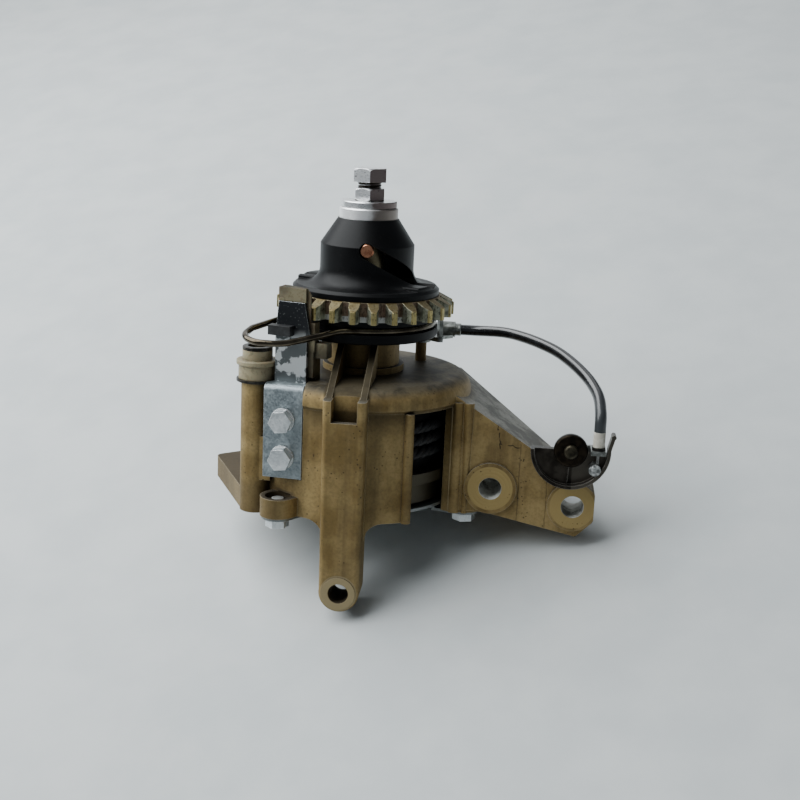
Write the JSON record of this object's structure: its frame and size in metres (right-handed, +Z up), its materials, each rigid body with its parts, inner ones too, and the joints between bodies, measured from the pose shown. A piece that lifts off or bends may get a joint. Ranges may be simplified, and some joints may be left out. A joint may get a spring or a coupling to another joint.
{
  "type": "outboard recoil starter",
  "caption": "manual rope starter of a small outboard engine: cast drum housing with bolt bosses, spindle with a lifting toothed pinion, brake spring, cable and lockout lever",
  "frame": {"origin": "centre of the front arm's bolt hole, on the arm's rear face that seats on the engine", "axes": "+X right as seen from the front, along the arm with the lever; +Y to the rear; +Z up along the spindle"},
  "size_m": [0.171, 0.1032, 0.1725],
  "materials": {
    "cast": "olive-gold stained cast alloy, satin, dirty in the corners",
    "cover_steel": "dull stained sheet",
    "zinc": "zinc plated, mottled, satin",
    "spring_steel": "polished dark spring wire",
    "spool_alloy": "machined bright, turned",
    "rope": "braided rope, greasy black",
    "copper": "copper coloured, worn",
    "bright_steel": "bright plated steel with rust marks",
    "bronze": "sintered bronze",
    "black_hub": "gloss black, moulded",
    "gear_steel": "olive brass tinted steel, greasy",
    "nylon": "aged ivory nylon with grime",
    "black_rubber": "matt black",
    "dark_steel": "dark greasy steel, bright worn rims",
    "worn_steel": "worn grey steel",
    "sheath": "black extruded, semi gloss",
    "white_plastic": "white plastic, dusty"
  },
  "bodies": {
    "frame": {"housing": "cast", "bottom_cover": "cover_steel", "cover_screws": "zinc", "recoil_spring": "spring_steel", "anchor_bracket": "zinc", "bracket_screws": "zinc", "guide_plate": "zinc", "guide_block": "nylon", "guide_stop": "black_rubber", "shaft_bushing": "nylon", "bushing_clip": "dark_steel", "bushing_ring": "worn_steel", "pawl_screw": "dark_steel", "cable_clamp": "dark_steel", "upper_ferrule": "worn_steel", "cable_sheath": "sheath", "lower_ferrule": "white_plastic", "ferrule_ring": "worn_steel", "lever_bush": "dark_steel", "lever_screw": "dark_steel", "cable_stop": "dark_steel"},
    "drum": {"spool": "spool_alloy", "rope_winding": "rope", "drive_pin": "copper", "center_bolt": "bright_steel", "lock_nut": "bright_steel", "top_washer": "bright_steel"},
    "sleeve": {"hub_bush": "bronze"},
    "pinion": {"pinion_hub": "black_hub", "pinion_gear": "gear_steel"},
    "brake": {"brake_spring": "spring_steel"},
    "lever": {"lockout_lever": "dark_steel", "cable_nipple": "worn_steel", "lower_wire": "worn_steel"},
    "pawl": {"lockout_pawl": "dark_steel", "upper_wire": "worn_steel"}
  },
  "joints": [
    {"name": "drum_spin", "type": "hinge", "parent": "frame", "child": "drum", "pos_m": [0.0007, 0.037, 0.0569], "axis": [0, 0, 1], "continuous": true},
    {"name": "pinion_rise", "type": "slide", "parent": "drum", "child": "sleeve", "axis": [0, 0, 1], "range_m": [0, 0.012]},
    {"name": "pinion_twist", "type": "hinge", "parent": "sleeve", "child": "pinion", "pos_m": [0.0007, 0.037, 0.1169], "axis": [0, 0, 1], "range_deg": [-71.5, 1.5]},
    {"name": "brake_ride", "type": "slide", "parent": "frame", "child": "brake", "axis": [0, 0, 1], "range_m": [-0.0003, 0.0123]},
    {"name": "lever_turn", "type": "hinge", "parent": "frame", "child": "lever", "pos_m": [0.0887, 0.0128, 0.0588], "axis": [0, 1, 0], "range_deg": [0, 16]},
    {"name": "pawl_turn", "type": "hinge", "parent": "frame", "child": "pawl", "pos_m": [0.0233, 0.057, 0.0926], "axis": [0, 0, 1], "range_deg": [-14.2, 0.5]}
  ],
  "couplings": [
    {"joint": "pinion_twist", "follows": "pinion_rise", "rad_per_m": -101.81},
    {"joint": "brake_ride", "follows": "pinion_rise", "ratio": 1},
    {"joint": "pawl_turn", "follows": "lever_turn", "ratio": -0.857}
  ]
}
